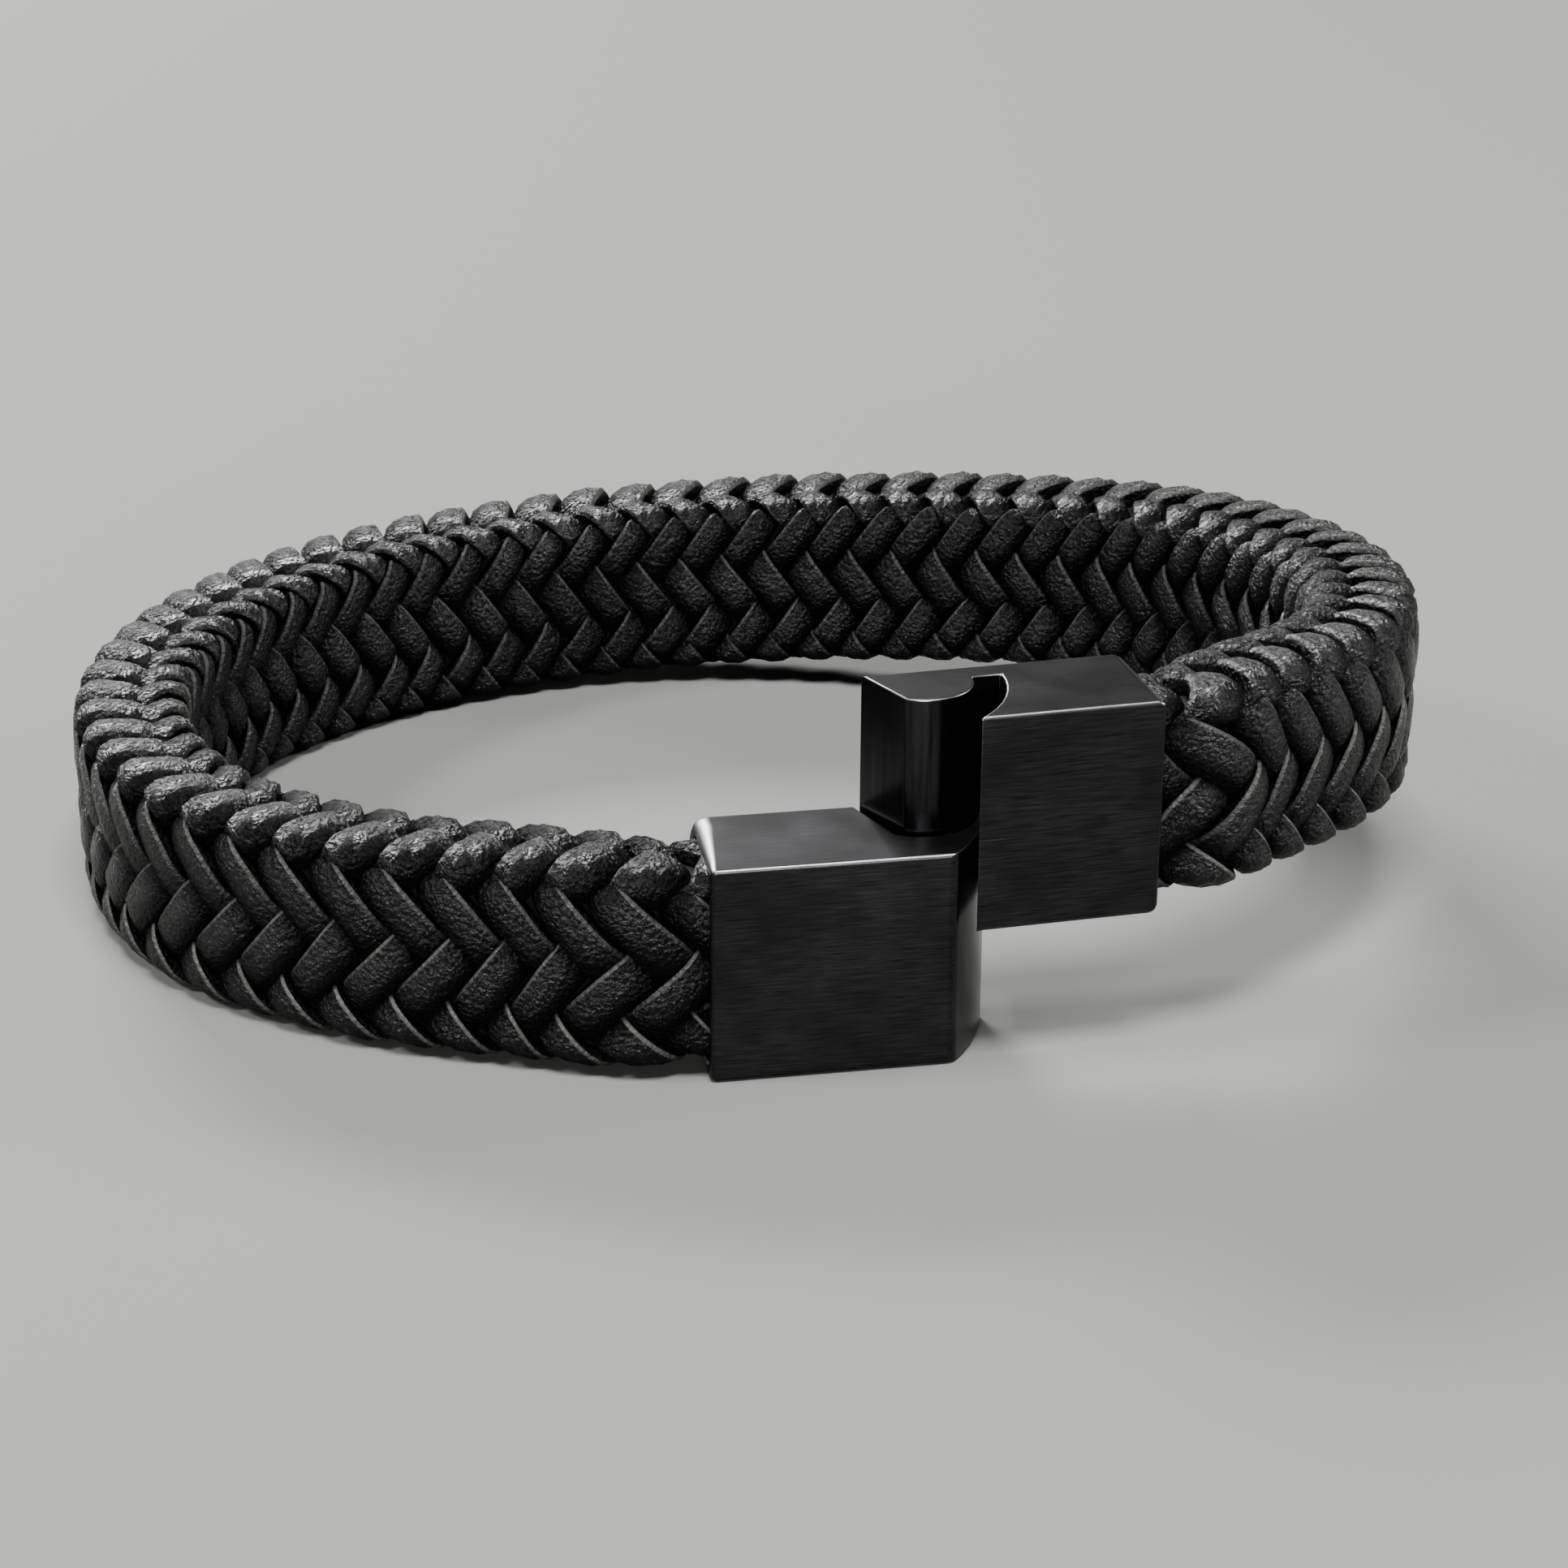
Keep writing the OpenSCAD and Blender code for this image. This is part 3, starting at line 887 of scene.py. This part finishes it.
def bend_group():
    tree, given = new_tree("Bend onto the band", (("Geometry", "Geometry"),) + BAND_SOCKETS)
    s, t, h = parts(tree, (add(tree, "GeometryNodeInputPosition"), "Position"))
    length = (given, "Band length")

    # What would stick out past the ends is squeezed into the pockets
    early = maths(tree, "MAXIMUM", maths(tree, "SUBTRACT", SQUEEZE_FROM * MM, s))
    last = maths(tree, "SUBTRACT", length, SQUEEZE_FROM * MM)
    late = maths(tree, "MAXIMUM", maths(tree, "SUBTRACT", s, last))
    push = maths(tree, "MULTIPLY", maths(tree, "SUBTRACT", early, late), SQUEEZE)
    s = maths(tree, "ADD", s, push)

    # Where this place is on the route and on the section, and which way each runs there
    line = add(tree, "GeometryNodeObjectInfo", {"Object": (given, "Route")})
    ring = add(tree, "GeometryNodeObjectInfo", {"Object": (given, "Section")})
    on_line = add(tree, "GeometryNodeSampleCurve",
                  {"Curves": (line, "Geometry"), "Length": s}, mode="LENGTH")
    share = maths(tree, "FRACT", maths(tree, "DIVIDE", t, (given, "Around")))
    on_ring = add(tree, "GeometryNodeSampleCurve",
                  {"Curves": (ring, "Geometry"), "Factor": share}, mode="FACTOR")
    dx, dy, _ = parts(tree, (on_line, "Tangent"))
    flat_side = joined(tree, maths(tree, "MULTIPLY", dy, -1.0), dx, 0.0)
    outward = add(tree, "ShaderNodeVectorMath", {0: flat_side}, operation="NORMALIZE"), "Vector"
    ring_x, ring_y, _ = parts(tree, (on_ring, "Position"))
    turn_x, turn_y, _ = parts(tree, (on_ring, "Tangent"))

    # Thinner in the pockets, and full again a few millimetres outside them
    to_end = maths(tree, "MINIMUM", s, maths(tree, "SUBTRACT", length, s))
    swell = add(tree, "ShaderNodeMapRange",
                {"Value": to_end, "From Min": (given, "Seat from"), "From Max": (given, "Seat to")},
                interpolation_type="SMOOTHSTEP"), "Result"
    thick = add(tree, "ShaderNodeMapRange", {"Value": swell, "To Min": SEATED_SHARE_T}), "Result"
    tall = add(tree, "ShaderNodeMapRange", {"Value": swell, "To Min": SEATED_SHARE_H}), "Result"

    # From the route sideways and up to the section, and by the height out of the leather
    off_x = maths(tree, "ADD", maths(tree, "MULTIPLY", ring_x, thick),
                  maths(tree, "MULTIPLY", turn_y, h))
    off_z = maths(tree, "SUBTRACT", maths(tree, "MULTIPLY", ring_y, tall),
                  maths(tree, "MULTIPLY", turn_x, h))
    sideways = add(tree, "ShaderNodeVectorMath", {0: outward, "Scale": off_x},
                   operation="SCALE"), "Vector"
    beside = add(tree, "ShaderNodeVectorMath", {0: (on_line, "Position"), 1: sideways},
                 operation="ADD"), "Vector"
    place = add(tree, "ShaderNodeVectorMath", {0: beside, 1: joined(tree, 0.0, 0.0, off_z)},
                operation="ADD"), "Vector"
    bent = add(tree, "GeometryNodeSetPosition",
               {"Geometry": (given, "Geometry"), "Position": place})
    add(tree, "NodeGroupOutput", {"Geometry": (bent, "Geometry")})
    print(tree.name, len(tree.nodes), "nodes")
    return tree


BEND = bend_group()


def bend(tree, given, geometry):
    """Adds the group to a tree, with the tree's own inputs for the band passed on to it."""
    made = add(tree, "GeometryNodeGroup", node_tree=BEND)
    tree.links.new(geometry[0].outputs[geometry[1]], made.inputs["Geometry"])
    for name, _ in BAND_SOCKETS:
        tree.links.new(given.outputs[name], made.inputs[name])
    return made, "Geometry"


def dress(tree, given, geometry):
    """Ends a tree: smooth, real instead of instances, and with the tree's own material."""
    smooth = add(tree, "GeometryNodeSetShadeSmooth", {"Geometry": geometry})
    real = add(tree, "GeometryNodeRealizeInstances", {"Geometry": (smooth, "Geometry")})
    dressed = add(tree, "GeometryNodeSetMaterial",
                  {"Geometry": (real, "Geometry"), "Material": (given, "Material")})
    add(tree, "NodeGroupOutput", {"Geometry": (dressed, "Geometry")})
    print(tree.name, len(tree.nodes), "nodes")


# %% [markdown]
# The braid repeats one stretch of strip along each row, each copy a little out of place, as real
# strips are. An Array modifier could repeat it, but not unevenly, so a tree duplicates the rows'
# points, shifts each by a random amount, and lays a strip on it that leans with its row.

# %% Tree that braids
# How far single strips stray: along, round and above the band in mm, turned in radians, and in
# share of their width
STRAY_ALONG = 0.10
STRAY_ROUND = 0.06
SUNK = 0.05
PROUD = 0.03
STRAY_SPIN = 0.045
STRAY_ROLL = 0.05
STRAY_TILT = 0.02
NARROW = 0.97
WIDE = 1.01


def braid_tree():
    tree, given = new_tree("Herringbone braid", (
        ("Rows", "Geometry"), ("Strip", "Object"), ("Material", "Material"),
        ("Strips along", "Int"), ("Pitch", "Float"), ("Slant", "Float"),
        ("Seed", "Int")) + BAND_SOCKETS)

    def random(low, high, offset):
        seed = maths(tree, "ADD", (given, "Seed"), float(offset))
        return add(tree, "FunctionNodeRandomValue", {"Min": low, "Max": high, "Seed": seed},
                   data_type="FLOAT"), "Value"

    def stray(most, offset):
        return random(-most, most, offset)

    def named(name):
        return add(tree, "GeometryNodeInputNamedAttribute", {"Name": name},
                   data_type="FLOAT"), "Attribute"

    # A flat field of points, one for each strip, a little uneven
    copies = add(tree, "GeometryNodeDuplicateElements",
                 {"Geometry": (given, "Rows"), "Amount": (given, "Strips along")}, domain="POINT")
    step = maths(tree, "MULTIPLY", (copies, "Duplicate Index"), (given, "Pitch"))
    shift = joined(tree, maths(tree, "ADD", step, stray(STRAY_ALONG * MM, 1)),
                   stray(STRAY_ROUND * MM, 2), random(-SUNK * MM, PROUD * MM, 3))
    field = add(tree, "GeometryNodeSetPosition", {"Geometry": (copies, "Geometry"), "Offset": shift})
    toned = add(tree, "GeometryNodeStoreNamedAttribute",
                {"Geometry": (field, "Geometry"), "Name": "tone", "Value": random(0.0, 1.0, 4)},
                data_type="FLOAT", domain="POINT")

    # A strip on each point. The ones that lean right are mirrored, so the upper edge stays up
    lean = maths(tree, "MULTIPLY", named("lean"), (given, "Slant"))
    half_turn = maths(tree, "MULTIPLY", named("turned"), math.pi)
    spin = maths(tree, "ADD", maths(tree, "ADD", lean, half_turn), stray(STRAY_SPIN, 5))
    turn = joined(tree, stray(STRAY_ROLL, 6), stray(STRAY_TILT, 7), spin)
    width = maths(tree, "MULTIPLY", named("width"), random(NARROW, WIDE, 9))
    size = joined(tree, named("stretch"), width, named("puff"))
    shape = add(tree, "GeometryNodeObjectInfo", {"Object": (given, "Strip")})
    laid = add(tree, "GeometryNodeInstanceOnPoints",
               {"Points": (toned, "Geometry"), "Instance": (shape, "Geometry"),
                "Rotation": turn, "Scale": size})
    real = add(tree, "GeometryNodeRealizeInstances", {"Geometry": (laid, "Instances")})

    # Bending turns a shape inside out, and mirroring had done so already
    bent = bend(tree, given, (real, "Geometry"))
    leans_left = add(tree, "FunctionNodeCompare", {"A": named("lean"), "B": 0.0},
                     data_type="FLOAT", operation="GREATER_THAN")
    outside = add(tree, "GeometryNodeFlipFaces",
                  {"Mesh": bent, "Selection": (leans_left, "Result")})
    dress(tree, given, (outside, "Mesh"))
    return tree


BRAID_TREE = braid_tree()

# %% [markdown]
# The real braid is a thick flat tube, and one never sees through its gaps, because strips from
# both sides cross there. Modelling those crossings would show nothing, so a plain dark body a
# little under the surface stands for them. A grid as long as the band and as wide as the way
# round it is bent onto the band, and its two long sides meet and are merged.

# %% Tree for the body under the strips
SEAM = 0.01


def body_tree():
    tree, given = new_tree("Body under the strips", (
        ("Geometry", "Geometry"), ("Material", "Material"), ("Steps along", "Int"),
        ("Steps around", "Int"), ("Depth", "Float")) + BAND_SOCKETS)
    grid = add(tree, "GeometryNodeMeshGrid",
               {"Size X": (given, "Band length"), "Size Y": (given, "Around"),
                "Vertices X": (given, "Steps along"), "Vertices Y": (given, "Steps around")})
    to_corner = joined(tree, maths(tree, "MULTIPLY", (given, "Band length"), 0.5),
                       maths(tree, "MULTIPLY", (given, "Around"), 0.5),
                       maths(tree, "MULTIPLY", (given, "Depth"), -1.0))
    sheet = add(tree, "GeometryNodeSetPosition",
                {"Geometry": (grid, "Mesh"), "Offset": to_corner})
    bent = bend(tree, given, (sheet, "Geometry"))
    tube = add(tree, "GeometryNodeMergeByDistance", {"Geometry": bent, "Distance": SEAM * MM})
    dress(tree, given, (tube, "Geometry"))
    return tree


BODY_TREE = body_tree()

# %% [markdown]
# The strips are black calf leather, dyed through and waxed. Its grain is a net of fine creases,
# and where a strip bends over its neighbours the creases run across it. The wax shines on the
# ridges and not in the creases, which is what makes black leather sparkle. Hands polish it on the
# crowns of the strips, most on the row that stands proud. It is made dull and deep black in the
# gaps and where the strips dive, which is painted shade. The strips were cut with a knife, so their
# edges show paler, rougher fibres, and the paler colour along their upper edges is also a painted
# highlight. A photographed texture would repeat, so ridged noise gives the creases and rounded
# cells give the pebbles. Real grain starts at a tenth of a millimetre, which is one dot of the
# picture, so the creases and pebbles are drawn at about a quarter.

# %% Grain of the leather
# Sizes of the grain in mm. The strips' own map is in mm too
CREASE = 0.26
PEBBLE = 0.26
DUST = 0.11
GRAIN_DEPTH = 0.34
# How high folds and dust are next to the pebbles, and how much grain a cut edge keeps
FOLD_SHARE = 0.13
DUST_SHARE = 0.6
GRAIN_ON_CUT = 0.35
# How far apart the strips' creases are taken from, so that no two are alike
CREASES_APART = 90.0
CREASE_STRETCH = 0.5


def leather_grain(tree, where, flat, tone, raw):
    """The creases, and the bump of creases, pebbles and dust together."""
    # Creases across the strip, different on each one
    own = add(tree, "ShaderNodeVectorMath", {0: (tone, "Vector"), "Scale": CREASES_APART},
              operation="SCALE")
    shifted = add(tree, "ShaderNodeVectorMath", {0: (flat, "UV"), 1: (own, "Vector")},
                  operation="ADD")
    across = add(tree, "ShaderNodeMapping",
                 {"Vector": (shifted, "Vector"), "Scale": (1, CREASE_STRETCH, 1)})
    creases = add(tree, "ShaderNodeTexNoise",
                  {"Vector": (across, "Vector"), "Scale": 1 / CREASE, "Detail": 3.0, "Roughness": 0.6,
                   "Offset": 1.0, "Gain": 2.2, "Distortion": 0.9},
                  noise_type="RIDGED_MULTIFRACTAL", normalize=True)

    # Pebbles of the grain, the same on all the leather, with fine dust on them
    grain = add(tree, "ShaderNodeTexVoronoi",
                {"Vector": (where, "Object"), "Scale": 1 / (PEBBLE * MM), "Randomness": 1.0},
                feature="SMOOTH_F1")
    dust = add(tree, "ShaderNodeTexNoise",
               {"Vector": (where, "Object"), "Scale": 1 / (DUST * MM), "Detail": 2.0})
    folds = add(tree, "ShaderNodeMath", {0: (creases, "Fac"), 1: FOLD_SHARE}, operation="MULTIPLY")
    rough = add(tree, "ShaderNodeMath", {0: (grain, "Distance"), 1: (folds, "Value")},
                operation="ADD")
    small = add(tree, "ShaderNodeMath", {0: (dust, "Fac"), 1: DUST_SHARE}, operation="MULTIPLY")
    height = add(tree, "ShaderNodeMath", {0: (small, "Value"), 1: (rough, "Value")},
                 operation="SUBTRACT")
    firm = add(tree, "ShaderNodeMapRange",
               {"Value": (raw, "Value"), "To Min": 1.0, "To Max": GRAIN_ON_CUT})
    bump = add(tree, "ShaderNodeBump",
               {"Strength": (firm, "Result"), "Distance": GRAIN_DEPTH * MM,
                "Height": (height, "Value")})
    return creases, bump


print("creases", CREASE, "mm, pebbles", PEBBLE, "mm, dust", DUST, "mm")


# %% Waxed black leather
# Roughness on the ridges and in the creases, and how strongly dull and polished skin mirrors: the
# dull skin paints shade in the gaps
RIDGE_ROUGH = 0.13
CREASE_ROUGH = 0.29
SHADED_DULL_MIRROR = 0.03
POLISHED_MIRROR = 0.31
MOST_RUBBED = 2.0


def leather_strips():
    made, tree = new_material("waxed black calf leather")
    where = add(tree, "ShaderNodeTexCoord")
    flat = add(tree, "ShaderNodeUVMap", uv_map="strip_map")
    tone = add(tree, "ShaderNodeAttribute", attribute_name="tone")
    cut = add(tree, "ShaderNodeAttribute", attribute_name="raw_edge")
    bare = add(tree, "ShaderNodeAttribute", attribute_name="bare")
    raw = add(tree, "ShaderNodeMath", {0: (cut, "Fac"), 1: (bare, "Fac")}, operation="MULTIPLY")
    creases, bump = leather_grain(tree, where, flat, tone, raw)

    # Black dye, a shade different from strip to strip, and a paler cut edge: raw fibres and a painted
    # highlight
    dye = add(tree, "ShaderNodeMix",
              {"Factor": (tone, "Fac"), "A": linear("#020202"), "B": linear("#050505")},
              data_type="RGBA")
    edge = add(tree, "ShaderNodeMix",
               {"Factor": (raw, "Value"), "A": (dye, "Result"), "B": linear("#353432")},
               data_type="RGBA")

    # Wax, glossier on the ridges, polished where hands rub a proud row, and dull in the gaps and
    # dives, which paints shade there
    wax = add(tree, "ShaderNodeMapRange",
              {"Value": (creases, "Fac"), "To Min": RIDGE_ROUGH, "To Max": CREASE_ROUGH})
    polish = add(tree, "ShaderNodeAttribute", attribute_name="polish")
    puff = add(tree, "ShaderNodeAttribute", attribute_name="puff")
    rubbed_and_lit = add(tree, "ShaderNodeMath", {0: (polish, "Fac"), 1: (puff, "Fac")},
                 operation="MULTIPLY")
    mirrored = add(tree, "ShaderNodeMapRange",
                   {"Value": (rubbed_and_lit, "Value"), "From Max": MOST_RUBBED, "To Min": SHADED_DULL_MIRROR,
                    "To Max": POLISHED_MIRROR})
    shader = add(tree, "ShaderNodeBsdfPrincipled",
                 {"Base Color": (edge, "Result"), "Roughness": (wax, "Result"),
                  "Specular IOR Level": (mirrored, "Result"), "Normal": (bump, "Normal")})
    add(tree, "ShaderNodeOutputMaterial", {"Surface": (shader, "BSDF")})
    print(made.name, len(tree.nodes), "nodes")
    return made


# %% [markdown]
# The body under the strips is the same dyed leather seen in shadow. Nobody touches it there, so it
# has no wax and no polish: nearly black, matt, with loose fibres half a millimetre long.

# %% Leather under the strips
FIBRE = 0.5
FIBRE_DEPTH = 0.1


def leather_body():
    made, tree = new_material("black leather under the strips")
    where = add(tree, "ShaderNodeTexCoord")
    fibres = add(tree, "ShaderNodeTexNoise",
                 {"Vector": (where, "Object"), "Scale": 1 / (FIBRE * MM), "Detail": 3.0})
    dye = add(tree, "ShaderNodeMix",
              {"Factor": (fibres, "Fac"), "A": linear("#080808"), "B": linear("#101010")},
              data_type="RGBA")
    bump = add(tree, "ShaderNodeBump",
               {"Strength": 0.5, "Distance": FIBRE_DEPTH * MM, "Height": (fibres, "Fac")})
    shader = add(tree, "ShaderNodeBsdfPrincipled",
                 {"Base Color": (dye, "Result"), "Roughness": 0.9, "Specular IOR Level": 0.1,
                  "Normal": (bump, "Normal")})
    add(tree, "ShaderNodeOutputMaterial", {"Surface": (shader, "BSDF")})
    print(made.name, len(tree.nodes), "nodes")
    return made


# %% [markdown]
# Now the band is braided. The trees could stay live as modifiers, but a finished piece is a plain
# mesh, so each tree runs once, its result is kept, and the modifier is removed. The values go in
# by each socket's identifier, because two sockets may share a name. The body's two open ends are
# closed afterwards, inside the pockets.

# %% Braid the band
STRIPS_ALONG = 63
BRAID_SEED = 7
SWELL_LEN = 5.0
BODY_DEPTH = 0.95
BODY_STEPS_ALONG = 300
BODY_STEPS_AROUND = 49
BAND_VALUES = {
    "Route": route, "Section": section, "Around": AROUND * MM, "Band length": BAND_LENGTH * MM,
    "Seat from": INNER_END * MM, "Seat to": (INNER_END + SWELL_LEN) * MM,
}


def grow(piece, tree, values):
    """Runs a tree on a piece and keeps the result as a plain mesh."""
    nodes = piece.modifiers.new(tree.name, "NODES")
    nodes.node_group = tree
    for socket in tree.interface.items_tree:
        if socket.in_out == "INPUT" and socket.name in values:
            nodes[socket.identifier] = values[socket.name]
    apply_modifiers(piece)
    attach(piece, "root")
    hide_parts("braided_band")
    print(piece.name, len(piece.data.polygons), "faces")


grow(braid, BRAID_TREE, BAND_VALUES | {
    "Strip": strip, "Material": leather_strips(), "Strips along": STRIPS_ALONG,
    "Pitch": PITCH * MM, "Slant": SLANT, "Seed": BRAID_SEED,
})
body = new_object("band_body", bpy.data.meshes.new("band_body"))
grow(body, BODY_TREE, BAND_VALUES | {
    "Material": leather_body(), "Steps along": BODY_STEPS_ALONG,
    "Steps around": BODY_STEPS_AROUND, "Depth": BODY_DEPTH * MM,
})
face_outwards(body.data, close_ends=True)

for helper in (strip, route, section):
    bpy.data.objects.remove(helper)
